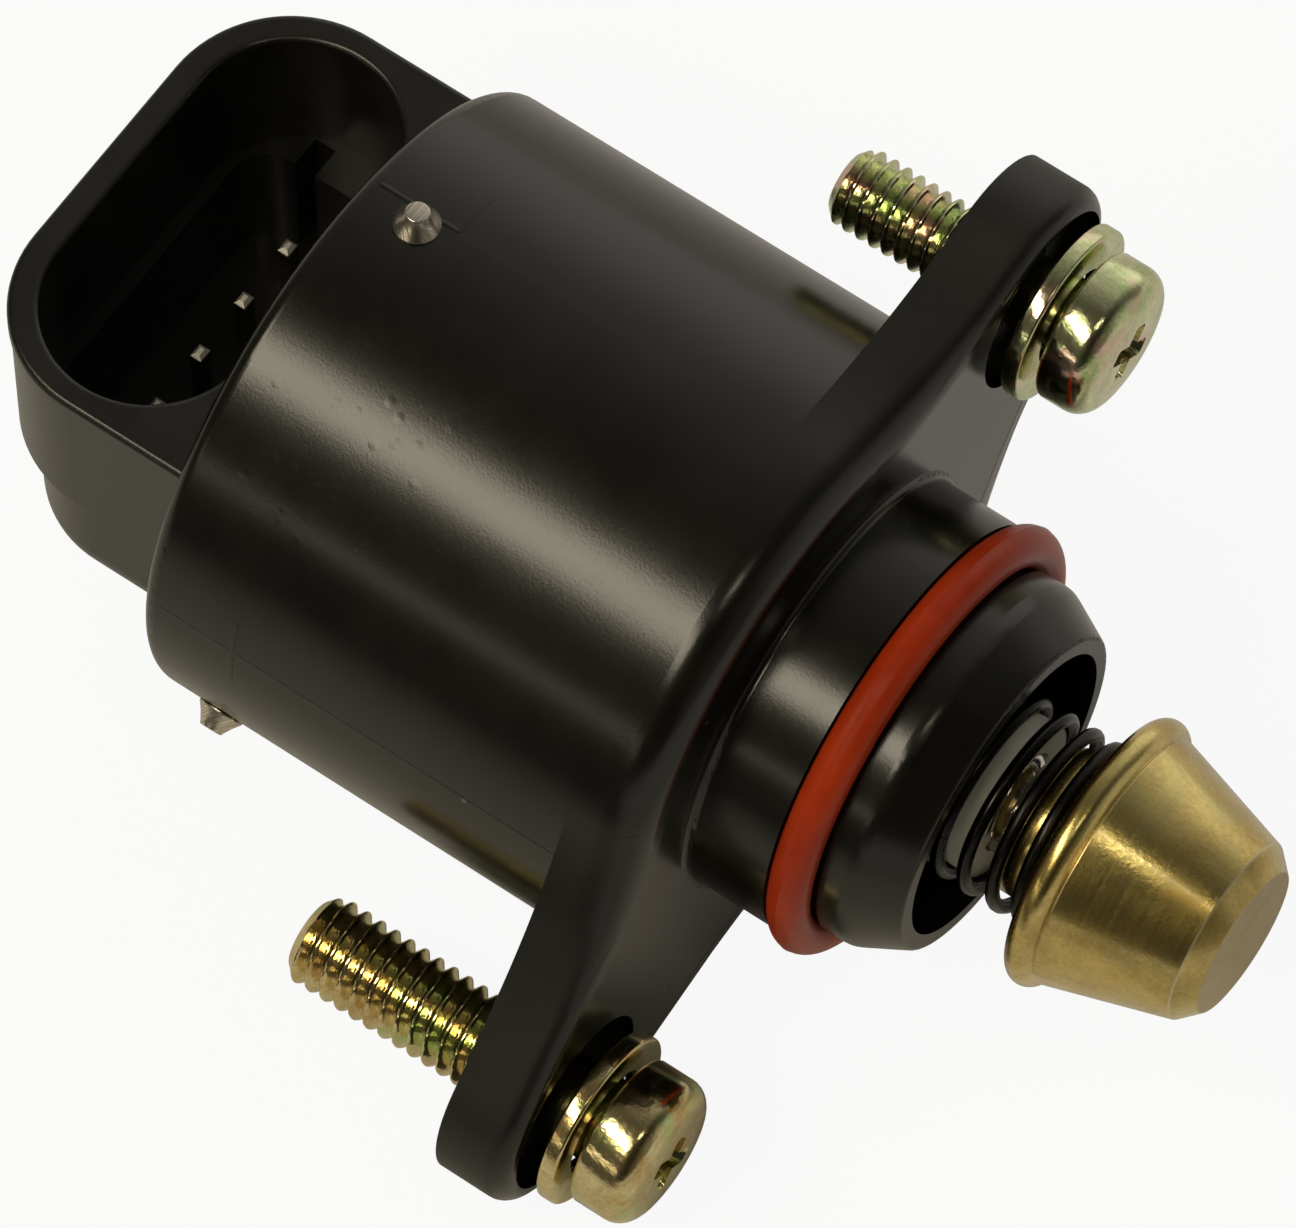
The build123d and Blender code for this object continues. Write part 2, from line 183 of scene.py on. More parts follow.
def add_to(material, socket, amount):
    """Adds an amount to what feeds one of the material's shader sockets."""
    tree = material.node_tree
    target = tree.nodes["Principled BSDF"].inputs[socket]
    tree.links.new(calculate(tree, "ADD", target.links[0].from_socket, amount), target)


def dull_edges(material, radius_from, radius_to, front, back, added):
    """Makes the flange's edges duller than the barrel: beyond a radius and behind the flange's face."""
    tree = material.node_tree
    parts = surface_place(tree)
    flat = add_node(tree, "CombineXYZ", None, Y=parts["Y"], Z=parts["Z"]).outputs[0]
    radius = add_node(tree, "VectorMath", {"operation": "LENGTH"}, _0=flat).outputs["Value"]
    beyond = spread(tree, radius, radius_from * MM, radius_to * MM)
    behind = spread(tree, parts["X"], back * MM, front * MM, 1, 0)
    dull = calculate(tree, "MULTIPLY", beyond, behind)
    add_to(material, "Roughness", calculate(tree, "MULTIPLY", dull, added))


def blister_patch(material, middle, solid_within, gone_by):
    """Low blisters in the surface round a point, thinning out with the distance from it."""
    tree = material.node_tree
    place = add_node(tree, "TexCoord").outputs["Object"]
    away = add_node(tree, "VectorMath", {"operation": "DISTANCE"}, _0=place, _1=Vector(middle) * MM)
    near = spread(tree, away.outputs["Value"], solid_within * MM, gone_by * MM, 1, 0)
    domes = calculate(tree, "MULTIPLY", scattered_dots(tree, place, 900.0, 0.3, 0.0, 0.3), near)
    target = tree.nodes["Principled BSDF"].inputs["Normal"]
    blisters = add_node(tree, "Bump", None, Strength=0.2, Distance=0.06 * MM, Height=domes,
                        Normal=target.links[0].from_socket)
    tree.links.new(blisters.outputs[0], target)


def dress(material, *names):
    """Gives CAD nodes a material."""
    for name in names:
        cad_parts[name].data.materials.clear()
        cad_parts[name].data.materials.append(material)


def settle(piece, material, body, slot, *stands_for):
    """Shades the piece, gives it its material, and puts it on its body in place of CAD nodes."""
    bpy.ops.object.select_all(action="DESELECT")
    piece.select_set(True)
    bpy.context.view_layer.objects.active = piece
    bpy.ops.object.shade_smooth_by_angle(angle=radians(30))
    piece.data.materials.append(material)
    if stands_for:
        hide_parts(*stands_for)
    if body:
        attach(piece, body)


def skin(name, columns, rows, shape, inward):
    """A thin closed skin: a grid put in place by shape(along, across), thickened by a vector."""
    bpy.ops.object.select_all(action="DESELECT")
    bpy.ops.mesh.primitive_grid_add(x_subdivisions=columns, y_subdivisions=rows, size=1)
    piece = bpy.context.object
    piece.name = piece.data.name = name
    for vertex in piece.data.vertices:
        vertex.co = Vector(shape(vertex.co.x + 0.5, vertex.co.y + 0.5)) * MM
    bpy.ops.object.mode_set(mode="EDIT")
    bpy.ops.mesh.select_all(action="SELECT")
    bpy.ops.mesh.extrude_region_move(TRANSFORM_OT_translate={"value": Vector(inward) * MM})
    bpy.ops.mesh.select_all(action="SELECT")
    bpy.ops.mesh.normals_make_consistent(inside=False)
    bpy.ops.object.mode_set(mode="OBJECT")
    return piece


def ear_root(name, direction, offset, ear_radius, side):
    """The hollow rounding between an ear's flank and the body, from the flange's back to its face."""
    lean = asin((root_radius - ear_radius) / offset)
    facing = radians(direction) + side * (pi / 2 - lean)
    normal = Vector((0, cos(facing), sin(facing)))
    outward = Vector((0, side * sin(facing), -side * cos(facing)))

    def shape(along, across):
        place = flange_back * (1 - along)
        edge = max(0, place + flange_round)
        flank = root_radius - flange_round + (flange_round**2 - edge**2) ** 0.5 + skin_lift
        edge = max(0, place + front_round)
        barrel = body_radius - front_round + (front_round**2 - edge**2) ** 0.5 + skin_lift
        reach = ((barrel + root_round) ** 2 - (flank + root_round) ** 2) ** 0.5
        turn_end = atan2(reach, flank + root_round)
        centre = (flank + root_round) * normal + reach * outward
        angle = turn_end * across
        rim = centre - root_round * (cos(angle) * normal + sin(angle) * outward)
        return (place + skin_lift * (2 * along - 1), rim.y, rim.z)

    middle = Vector(shape(0, 0.5))
    return skin(name, 14, 16, shape, (0, -0.05 * middle.y, -0.05 * middle.z))


def flash_line(name, height, start, end, steps):
    """A low raised line on the body, between two (place, angle) points."""
    across = Vector((end[1] - start[1], end[0] - start[0])).normalized()

    def shape(along, aside):
        wide = flash_width * (aside - 0.5)
        place = start[0] + (end[0] - start[0]) * along + wide * across.x
        angle = radians(start[1] + (end[1] - start[1]) * along) - wide * across.y / body_radius
        radius = body_radius + height * (1 - (2 * aside - 1) ** 2) + skin_lift
        return (place, radius * cos(angle), radius * sin(angle))

    middle = Vector(shape(0.5, 0.5))
    return skin(name, steps, 6, shape, (0, -0.01 * middle.y, -0.01 * middle.z))


moulded = moulded_surface()
body_black = moulding("body_black", (0.0048, 0.0047, 0.0036), (0.0082, 0.008, 0.006), roughness=0.22,
                      variation=0.06, grain=0.12)
dull_edges(body_black, radius_from=16.8, radius_to=18.5, front=-0.3, back=-0.9, added=0.25)
blister_patch(body_black, middle=(-22.0, -8.9, 13.9), solid_within=4.0, gone_by=7.0)
dress(body_black, "housing")
body_radius, front_round = 16.5, 2.2
flange_back, flange_round = -3.9, 1.1
root_radius, root_round, skin_lift = 13.3, 35.0, 0.008
ear_angle, upper_offset, lower_offset = 30, 21.0, 23.5
upper_ear_radius, lower_ear_radius = 5.7, 6.0
ears = (("upper", (ear_angle, upper_offset, upper_ear_radius)),
        ("lower", (ear_angle + 180, lower_offset, lower_ear_radius)))
for side in (1, -1):
    for name, ear in ears:
        root = ear_root(f"{name}_root_{'left' if side > 0 else 'right'}", *ear, side)
        settle(root, body_black, "body", "body_plastic")
flash_width, flash_steps = 0.3, 24
insert_edge, low_seam, high_seam = -22.8, 169.5, 81.0
for name, height, start, end in (
    ("seam_low", 0.006, (-27.0, low_seam), (-4.0, low_seam)),
    ("seam_high", 0.025, (-27.3, high_seam), (insert_edge, high_seam)),
    ("insert_high", 0.025, (insert_edge, high_seam), (insert_edge, 71.0)),
    ("insert_low", 0.01, (insert_edge, 178.0), (insert_edge, 162.0)),
):
    settle(flash_line(name, height, start, end, flash_steps), body_black, "body", "body_plastic")

# Stator: two deep-drawn steel cups and two pole plates with claw poles, tin plated, stacked in the body.
# Each half holds a black spool with a coil of enamelled copper wire. Nothing of it shows from outside.


def turning_marks():
    """Fine rings left by a lathe or a roller: streaks that depend on the place along X and the radius."""
    group, given, out = new_group(
        "turning_marks",
        [("Centre", "Vector", (0, 0, 0)), ("Fineness", "Float", 6000.0), ("Depth", "Float", 0.2)],
        [("Line", "Float"), ("Normal", "Vector")],
    )
    place = add_node(group, "TexCoord").outputs["Object"]
    local = add_node(group, "VectorMath", {"operation": "SUBTRACT"}, _0=place, _1=given["Centre"]).outputs[0]
    parts = add_node(group, "SeparateXYZ", None, Vector=local).outputs
    flat = add_node(group, "CombineXYZ", None, Y=parts["Y"], Z=parts["Z"]).outputs[0]
    radius = add_node(group, "VectorMath", {"operation": "LENGTH"}, _0=flat).outputs["Value"]
    along = calculate(group, "ADD", parts["X"], radius)
    rings = add_node(group, "TexNoise", {"noise_dimensions": "1D"}, W=along, Scale=given["Fineness"],
                     Detail=3.0)
    bump = add_node(group, "Bump", None, Strength=given["Depth"], Distance=0.02 * MM, Height=rings.outputs[0])
    group.links.new(rings.outputs[0], out["Line"])
    group.links.new(bump.outputs[0], out["Normal"])
    return group


def bare_metal(name, dark, light, roughness, fineness=6000.0, depth=0.2, centre=(0, 0, 0)):
    """Turned, drawn or rolled metal: streaks of shade and gloss round its own axis."""
    material, tree, shader = new_material(name, Metallic=1.0)
    marks = use_group(tree, turned_rings, Centre=centre, Fineness=fineness, Depth=depth)
    shade = spread(tree, marks["Line"], 0.3, 0.7)
    tree.links.new(mix_colour(tree, shade, (*dark, 1), (*light, 1)), shader.inputs["Base Color"])
    gloss = spread(tree, marks["Line"], 0.2, 0.8, roughness * 1.3, roughness * 0.7)
    tree.links.new(gloss, shader.inputs["Roughness"])
    tree.links.new(marks["Normal"], shader.inputs["Normal"])
    return material


turned_rings = turning_marks()
dress(bare_metal("tinned_pressing", (0.36, 0.36, 0.35), (0.55, 0.55, 0.54), 0.35),
      "stator_cup_front", "stator_cup_rear", "pole_plate_front", "pole_plate_rear")
dress(moulding("spool_black", (0.02, 0.02, 0.02), (0.035, 0.035, 0.034), 0.45),
      "coil_bobbin_front", "coil_bobbin_rear")
dress(bare_metal("enamelled_copper", (0.4, 0.13, 0.04), (0.72, 0.3, 0.12), 0.3, fineness=2500.0, depth=0.8),
      "coil_winding_front", "coil_winding_rear")

# Rotor: a ground ferrite ring magnet on a moulded nut of natural plastic, which drives the lead screw.
# It turns in a steel front bearing and a sintered bronze rear bush.
dress(bare_metal("ground_ferrite", (0.05, 0.05, 0.055), (0.1, 0.1, 0.105), 0.5), "rotor_magnet")
dress(moulding("nut_natural", (0.55, 0.52, 0.45), (0.68, 0.65, 0.58), 0.4), "rotor_nut")
dress(bare_metal("bearing_ground", (0.5, 0.5, 0.5), (0.68, 0.68, 0.67), 0.18), "front_bearing")
dress(bare_metal("bush_sintered", (0.34, 0.22, 0.09), (0.5, 0.35, 0.16), 0.45), "rear_bush")

# Connector cap: the socket for the loom's plug, moulded in one with the plug that closes the body.
# Its plastic is a little greyer and duller than the housing's.
# The four terminals are tinned brass pins moulded into it; their tips carry a painted highlight, near white,
# and below it they are darker.
dress(moulding("cap_black", (0.007, 0.0068, 0.0056), (0.013, 0.0126, 0.0105), roughness=0.3,
               variation=0.08, grain=0.1, specks=0.35), "connector_cap")
tinned_terminal = bare_metal("tinned_terminal", (0.10, 0.095, 0.08), (0.2, 0.19, 0.16), 0.3)
tree = tinned_terminal.node_tree
shader = tree.nodes["Principled BSDF"]
# The top of each terminal is a painted highlight: mixed to near white and made duller; below it the colour
# stays darker.
tip_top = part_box("terminal_1")[1][2]
tip_from, tip_full = tip_top - 0.3 * MM, tip_top - 0.15 * MM
painted_tip_highlight, tip_dullness = (0.98, 0.96, 0.88, 1), 0.3
tip = spread(tree, surface_place(tree)["Z"], tip_from, tip_full)
darker_blade = shader.inputs["Base Color"].links[0].from_socket
tree.links.new(mix_colour(tree, tip, darker_blade, painted_tip_highlight), shader.inputs["Base Color"])
add_to(tinned_terminal, "Roughness", calculate(tree, "MULTIPLY", tip, tip_dullness))
dress(tinned_terminal, "terminal_1", "terminal_2", "terminal_3", "terminal_4")

# Retaining pins: three short steel pins, pressed through the body's wall into the cap.
# Each ends in a bright flat tip on a cone that was flared over the wall.


def turn(name, profile, centre=(0, 0), segments=96, ring=False):
    """A piece turned about a line along X, from (place, radius) points in millimetres.
    A circle is drawn at the first point and pulled from point to point; a ring then closes on itself,
    and a solid has its two ends filled."""
    (place, radius), *others = profile
    across, upward = centre[0] * MM, centre[1] * MM
    bpy.ops.object.select_all(action="DESELECT")
    bpy.ops.mesh.primitive_circle_add(
        vertices=segments, radius=radius * MM, location=(place * MM, across, upward), rotation=(0, pi / 2, 0))
    piece = bpy.context.object
    piece.name = piece.data.name = name
    bpy.ops.object.transform_apply(location=True, rotation=True, scale=True)
    bpy.ops.object.mode_set(mode="EDIT")
    bpy.ops.mesh.select_all(action="SELECT")
    for next_place, next_radius in others:
        grow = next_radius / radius
        bpy.ops.mesh.extrude_edges_move(TRANSFORM_OT_translate={"value": ((next_place - place) * MM, 0, 0)})
        bpy.ops.transform.resize(value=(1, grow, grow), center_override=(next_place * MM, across, upward))
        place, radius = next_place, next_radius
    bpy.ops.mesh.select_all(action="DESELECT")
    bpy.ops.mesh.select_non_manifold()
    if ring:
        bpy.ops.mesh.bridge_edge_loops()
    else:
        bpy.ops.mesh.select_all(action="SELECT")
        bpy.ops.mesh.fill_holes(sides=0)
    bpy.ops.mesh.select_all(action="SELECT")
    bpy.ops.mesh.normals_make_consistent(inside=False)
    bpy.ops.object.mode_set(mode="OBJECT")
    return piece


def arc(place, radius, size, start, end, steps):
    """Points on an arc of a turned outline, between two angles counted from +X."""
    angles = [radians(start + (end - start) * step / steps) for step in range(steps + 1)]
    return [(place + size * cos(angle), radius + size * sin(angle)) for angle in angles]


def apply_modifier(piece, kind, **settings):
    """Adds a modifier to the piece and applies it."""
    bpy.ops.object.select_all(action="DESELECT")
    piece.select_set(True)
    bpy.context.view_layer.objects.active = piece
    modifier = piece.modifiers.new("step", kind)
    for name, value in settings.items():
        setattr(modifier, name, value)
    bpy.ops.object.modifier_apply(modifier=modifier.name)


def soften(piece, width, angle=30.0, segments=3):
    """Rounds the piece's sharp edges by a width in millimetres."""
    apply_modifier(piece, "BEVEL", width=width * MM, segments=segments, limit_method="ANGLE",
                   angle_limit=radians(angle), use_clamp_overlap=True)


pin_place = -24.6
pin_angles = (84, 204, 324)
pin_tip, pin_flare, pin_proud, pin_root = 0.62, 1.2, 1.05, 13.0
flare_sunk, flare_edge, waist, waist_radius = 0.02, 0.08, 0.45, 0.92
tip_height, tip_taper = 0.15, 0.03
pin_shape = [
    (pin_root, pin_tip),
    (body_radius - flare_sunk, pin_tip),
    (body_radius - flare_sunk, pin_flare),
    (body_radius + flare_edge, pin_flare),
    (body_radius + waist, waist_radius),
    (body_radius + pin_proud - tip_height, pin_tip + tip_taper),
    (body_radius + pin_proud, pin_tip - tip_taper),
]
pin_metal = bare_metal("pin_bright", (0.42, 0.37, 0.28), (0.85, 0.8, 0.7), 0.25, fineness=9000.0)
for number, angle in enumerate(pin_angles, 1):
    pin = turn(f"pin_{number}", pin_shape, segments=48)
    soften(pin, width=0.06)
    pin.rotation_mode = "ZYX"
    pin.rotation_euler = (radians(angle), 0, pi / 2)
    pin.location = (pin_place * MM, 0, 0)
    bpy.ops.object.transform_apply(location=True, rotation=True, scale=True)
    settle(pin, pin_metal, "body", "pin_metal", f"retaining_pin_{number}")

# Shaft guide: a light grey moulded sleeve in the nose that keeps the lead screw from turning.
# Two keys inside it run in the screw's keyways.
dress(moulding("guide_grey", (0.68, 0.68, 0.62), (0.84, 0.84, 0.77), 0.35, specks=0.2), "shaft_guide")

# Lead screw: a bright rolled steel screw with two lengthwise keyways, staked into the pintle's hub.
# The rotor's nut drives it along and the guide's keys keep it from turning.


def cut_thread(piece, start, end, crest, depth, pitch, centre=(0, 0)):
    """Presses a screw thread into the piece's plain wall between two places, fading out at the far end."""
    root_flat, flank_share = 0.06, 0.82
    for vertex in piece.data.vertices:
        place = vertex.co.x / MM
        across, upward = vertex.co.y / MM - centre[0], vertex.co.z / MM - centre[1]
        radius = hypot(across, upward)
        if not start <= place <= end or radius < crest - depth:
            continue
        phase = place / pitch - atan2(upward, across) / (2 * pi)
        ridge = abs(2 * (phase - floor(phase)) - 1)
        rise = min(1, max(0, (ridge - root_flat) / flank_share))
        fade = min(1, (end - place) / pitch)
        target = min(radius, crest - depth * fade * (1 - rise))
        vertex.co.y = (centre[0] + across * target / radius) * MM
        vertex.co.z = (centre[1] + upward * target / radius) * MM


def steps_between(start, end, step):
    """Places from start to end, about a step apart."""
    count = max(1, round((end - start) / step))
    return [start + (end - start) * index / count for index in range(count + 1)]


shaft_crest, shaft_depth, shaft_pitch = 2.6, 0.38, 1.0
shaft_rear, shaft_front = -17.0, 18.8
keyway_half, keyway_floor = 0.55, 2.08
rings_per_turn = 12
shaft = turn("lead_screw_thread", [(place, shaft_crest) for place in
             steps_between(shaft_rear, shaft_front, shaft_pitch / rings_per_turn)], segments=72)
cut_thread(shaft, shaft_rear, shaft_front, shaft_crest, shaft_depth, shaft_pitch)
for vertex in shaft.data.vertices:
    if abs(vertex.co.z) < keyway_half * MM:
        vertex.co.y = max(-keyway_floor * MM, min(keyway_floor * MM, vertex.co.y))
shaft_metal = bare_metal("rolled_thread", (0.5, 0.47, 0.43), (0.8, 0.77, 0.72), 0.16)
settle(shaft, shaft_metal, "pintle", "screw_steel", "lead_screw")

# Pintle: a turned steel cone with a rolled collar and a hub under the spring, plated and yellow chromated.
# The chromate is mottled gold, brown and green, and the tool's fine rings show through it.


def chromate_bloom():
    """Patchy colour of a chromate film: light and deep patches, a second tint in places, fine speckle."""
    group, given, out = new_group(
        "chromate_bloom",
        [("Light", "Color", (1, 1, 1, 1)), ("Deep", "Color", (0, 0, 0, 1)),
         ("Tint", "Color", (0.5, 0.5, 0.5, 1)), ("Patches", "Float", 300.0), ("Tint Share", "Float", 0.4)],
        [("Color", "Color"), ("Film", "Float"), ("Speckle", "Float")],
    )
    place = add_node(group, "TexCoord").outputs["Object"]
    patches = add_node(group, "TexNoise", None, Vector=place, Scale=given["Patches"], Detail=5.0,
                       Roughness=0.62, Distortion=0.6).outputs[0]
    shifted = add_node(group, "Mapping", None, Vector=place, Location=(0.31, 0.17, 0.53)).outputs[0]
    tints = add_node(group, "TexNoise", None, Vector=shifted, Scale=given["Patches"], Detail=3.0,
                     Distortion=1.2).outputs[0]
    speckle = add_node(group, "TexNoise", None, Vector=place, Scale=4200.0, Detail=2.0).outputs[0]
    fleck = calculate(group, "MULTIPLY", calculate(group, "SUBTRACT", speckle, 0.5), 0.35)
    film = spread(group, calculate(group, "ADD", patches, fleck), 0.36, 0.64)
    base = mix_colour(group, film, given["Deep"], given["Light"])
    share = calculate(group, "MULTIPLY", spread(group, tints, 0.48, 0.66), given["Tint Share"])
    group.links.new(mix_colour(group, share, base, given["Tint"]), out["Color"])
    group.links.new(film, out["Film"])
    group.links.new(speckle, out["Speckle"])
    return group


def plated(name, light, deep, tint, tint_share, patches, roughness, fineness, depth, dents, centre=(0, 0, 0)):
    """Chromated zinc on steel: the film's patches colour it, and the metal's own rings show in its gloss."""
    material, tree, shader = new_material(name, Metallic=1.0)
    bloom = use_group(tree, chromate, Light=(*light, 1), Deep=(*deep, 1), Tint=(*tint, 1), Patches=patches,
                      Tint_Share=tint_share)
    marks = use_group(tree, turned_rings, Centre=centre, Fineness=fineness, Depth=depth)
    tree.links.new(bloom["Color"], shader.inputs["Base Color"])
    gloss = calculate(tree, "ADD", spread(tree, bloom["Film"], 0, 1, roughness + 0.06, roughness - 0.03),
                      spread(tree, marks["Line"], 0.2, 0.8, 0.03, -0.03))
    tree.links.new(gloss, shader.inputs["Roughness"])
    uneven = add_node(tree, "Bump", None, Strength=dents, Distance=0.05 * MM, Height=bloom["Film"],
                      Normal=marks["Normal"])
    crystals = add_node(tree, "Bump", None, Strength=0.24, Distance=0.02 * MM, Height=bloom["Speckle"],
                        Normal=uneven.outputs[0])
    tree.links.new(crystals.outputs[0], shader.inputs["Normal"])
    return material


def line_at(tree, along, place, core, rim):
    """A thin ring round the piece at a place along X, fading from core to rim."""
    away = calculate(tree, "ABSOLUTE", calculate(tree, "SUBTRACT", along, place * MM))
    return spread(tree, away, core * MM, rim * MM, 1, 0)


chromate = chromate_bloom()
hub_rear, hub_radius, hub_bore = 12.85, 3.95, 2.62
collar_back, collar_back_radius = 15.15, 5.2
bead_place, bead_centre, bead_size = 15.95, 6.53, 0.77
groove_place, groove_radius = 16.76, 6.62
cone_end, cone_end_radius = 23.2, 4.85
tip_end, tip_radius = 24.2, 3.87
pintle = turn("pintle_cone", [
    (hub_rear + 4, hub_bore),
    (hub_rear, hub_bore),
    (hub_rear, hub_radius),
    (collar_back, hub_radius),
    (collar_back, collar_back_radius),
    *arc(bead_place, bead_centre, bead_size, 178, 27, 14),
    (groove_place, groove_radius),
    (groove_place + 0.12, groove_radius + 0.12),
    (cone_end, cone_end_radius),
    (tip_end, tip_radius),
], segments=144)
soften(pintle, width=0.06, angle=22)
pintle_gold = plated("pintle_gold", (0.76, 0.58, 0.20), (0.52, 0.37, 0.105), (0.52, 0.48, 0.2),
                     tint_share=0.45, patches=260.0, roughness=0.24, fineness=5200.0, depth=0.05, dents=0.04)
tree = pintle_gold.node_tree
shader = tree.nodes["Principled BSDF"]
shader.inputs["Coat Weight"].default_value = 0.6
shader.inputs["Coat Roughness"].default_value = 0.1
# Painted highlights: thin near-white rings at the cone's front edge and at the groove's edge, also made a
# little duller. The faced end of the tip has the metal's own duller colour.
edge_highlight_colour, edge_highlight_share = (0.9, 0.85, 0.66, 1), 0.55
faced_colour, faced_share = (0.6, 0.48, 0.25, 1), 0.7
highlight_and_facing_dullness = 0.22
along = surface_place(tree)["X"]
edge_highlight = calculate(tree, "MAXIMUM", line_at(tree, along, cone_end, core=0.02, rim=0.07),
                 line_at(tree, along, groove_place + 0.1, core=0.02, rim=0.06))
faced = spread(tree, along, (tip_end - 0.05) * MM, (tip_end - 0.02) * MM)
film = shader.inputs["Base Color"].links[0].from_socket
film = mix_colour(tree, calculate(tree, "MULTIPLY", faced, faced_share), film, faced_colour)
film = mix_colour(tree, calculate(tree, "MULTIPLY", edge_highlight, edge_highlight_share), film, edge_highlight_colour)
tree.links.new(film, shader.inputs["Base Color"])
highlight_and_facing = calculate(tree, "MAXIMUM", edge_highlight, faced)
add_to(pintle_gold, "Roughness", calculate(tree, "MULTIPLY", highlight_and_facing, highlight_and_facing_dullness))
settle(pintle, pintle_gold, "pintle", "pintle_gold", "pintle")
apply_modifier(pintle, "WEIGHTED_NORMAL", keep_sharp=True)

# Spring: black oiled wire, wound from the cup's floor to the back of the pintle's collar.
# Its last turn closes in, and the open turns lean a little to one side.
wire_radius, coil_radius, coil_turns = 0.36, 4.65, 8.37
coil_start, coil_end = 2.42, 14.79
closing_turns, closing_pitch = 1.0, 0.9
lean, lean_angle = 0.07, radians(23.5)
first_angle = radians(130)
points_per_turn = 40
open_pitch = (coil_end - coil_start - closing_turns * closing_pitch / 2) / (coil_turns - closing_turns / 2)
coil = bpy.data.curves.new("pintle_coil", "CURVE")
coil.dimensions = "3D"
coil.bevel_depth = wire_radius * MM
coil.bevel_resolution = 4
coil.use_fill_caps = True
run = coil.splines.new("NURBS")
count = round(coil_turns * points_per_turn)
run.points.add(count)
for index, point in enumerate(run.points):
    turned = index / points_per_turn
    angle = first_angle + 2 * pi * turned
    closed = max(0, turned - coil_turns + closing_turns)
    place = coil_start + turned * open_pitch - (open_pitch - closing_pitch) * closed**2 / (2 * closing_turns)
    ease = min(1, turned, (coil_turns - turned) / (2 * closing_turns))
    place += lean * ease * coil_radius * cos(angle - lean_angle)
    point.co = (place * MM, coil_radius * cos(angle) * MM, coil_radius * sin(angle) * MM, 1)
run.order_u = 4
run.use_endpoint_u = True
coil = bpy.data.objects.new("pintle_coil", coil)
bpy.context.collection.objects.link(coil)
bpy.ops.object.select_all(action="DESELECT")
coil.select_set(True)
bpy.context.view_layer.objects.active = coil
bpy.ops.object.convert(target="MESH")
coil = bpy.context.object
spring_black = bare_metal("spring_black", (0.012, 0.012, 0.012), (0.035, 0.034, 0.033), 0.3)
settle(coil, spring_black, None, "spring_steel", "pintle_spring")
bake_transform(coil)

# O-ring: red-orange silicone, pressed in a two-part mould, whose fine flash line runs round it.
# It is stretched over the nose and sits in its groove.
ring_place, ring_middle, ring_section = 5.55, 10.7, 1.05
flash_height = 0.03
section = arc(ring_place, ring_middle, ring_section, 0, 360, 48)[:-1]
flash_at = len(section) // 4
section[flash_at] = (ring_place, ring_middle + ring_section + flash_height)
seal = turn("seal_ring", section, segments=160, ring=True)
silicone = moulding("silicone_red", (0.38, 0.03, 0.004), (0.48, 0.044, 0.008), 0.32, grain=0.12, specks=0.25)
silicone.node_tree.nodes["Principled BSDF"].inputs["Specular IOR Level"].default_value = 0.25
settle(seal, silicone, "body", "silicone", "o_ring")

# Screws and washers: two pan-headed steel screws with a cross recess and a rolled thread, each with a
# flat washer, put through the ears from the nose side. All are zinc plated and chromated: the upper pair
# is pale green to pink, and the lower pair golden.


def fastener(name, place, crest, depth, pitch, tip, thread_end, seat, crown, head_radius, head_round):
    """A screw that points to -X, about a line through a hole in the flange."""
    tip_chamfer, shank_relief, neck, crown_rise = 0.55, 0.2, 0.25, 0.12
    shank = crest - shank_relief
    rings = [(along, min(crest, crest - tip_chamfer + (along - tip))) for along in
             steps_between(tip, thread_end, pitch / rings_per_turn)]
    crown_arc = arc(crown - head_round, head_radius - head_round, head_round, 90, 0, 8)
    screw = turn(name, [
        *rings,
        (thread_end + neck, shank),
        (seat, shank),
        (seat, head_radius - 0.25),
        (seat + 0.08, head_radius - 0.08),
        (seat + 0.25, head_radius),
        *crown_arc,
        (crown + crown_rise, head_radius * 0.45),
    ], centre=place, segments=72)
    cut_thread(screw, tip, thread_end, crest, depth, pitch, centre=place)
    recess_length, recess_width, recess_depth, recess_taper = 4.3, 1.15, 1.6, 0.4
    recess_angles = (50, 140)
    for angle in recess_angles:
        bpy.ops.object.select_all(action="DESELECT")
        bpy.ops.mesh.primitive_cube_add(size=1)
        cutter = bpy.context.object
        for vertex in cutter.data.vertices:
            narrow = recess_taper if vertex.co.x < 0 else 1.0
            vertex.co = Vector((2 * recess_depth * vertex.co.x, recess_length * narrow * vertex.co.y,
                                recess_width * narrow**0.5 * vertex.co.z)) * MM
        soften(cutter, width=0.2)
        cutter.rotation_euler = (radians(angle), 0, 0)
        cutter.location = (crown * MM, place[0] * MM, place[1] * MM)
        bpy.ops.object.transform_apply(location=True, rotation=True, scale=True)
        apply_modifier(screw, "BOOLEAN", operation="DIFFERENCE", object=cutter, solver="EXACT")
        bpy.data.objects.remove(cutter)
    return screw


def flat_washer(name, place, start, bore):
    """A pressed washer with rounded edges."""
    outer, thick = 4.65, 0.9
    washer = turn(name, [(start, bore), (start, outer), (start + thick, outer), (start + thick, bore)],
                  centre=place, segments=96, ring=True)
    soften(washer, width=0.16)
    return washer


ear_direction = (cos(radians(ear_angle)), sin(radians(ear_angle)))
upper_place = (upper_offset * ear_direction[0], upper_offset * ear_direction[1])
lower_place = (-lower_offset * ear_direction[0], -lower_offset * ear_direction[1])
upper_centre = (0, upper_place[0] * MM, upper_place[1] * MM)
lower_centre = (0, lower_place[0] * MM, lower_place[1] * MM)
zinc = {"tint_share": 0.75, "patches": 420.0, "roughness": 0.15, "fineness": 6000.0, "depth": 0.05,
        "dents": 0.1}
upper_zinc = plated("upper_zinc", (0.80, 0.81, 0.50), (0.47, 0.57, 0.27), (0.80, 0.52, 0.46), **zinc,
                    centre=upper_centre)
lower_zinc = plated("lower_zinc", (0.84, 0.74, 0.42), (0.62, 0.45, 0.2), (0.52, 0.66, 0.29), **zinc,
                    centre=lower_centre)
head = {"thread_end": -4.2, "head_radius": 3.95, "head_round": 1.2}
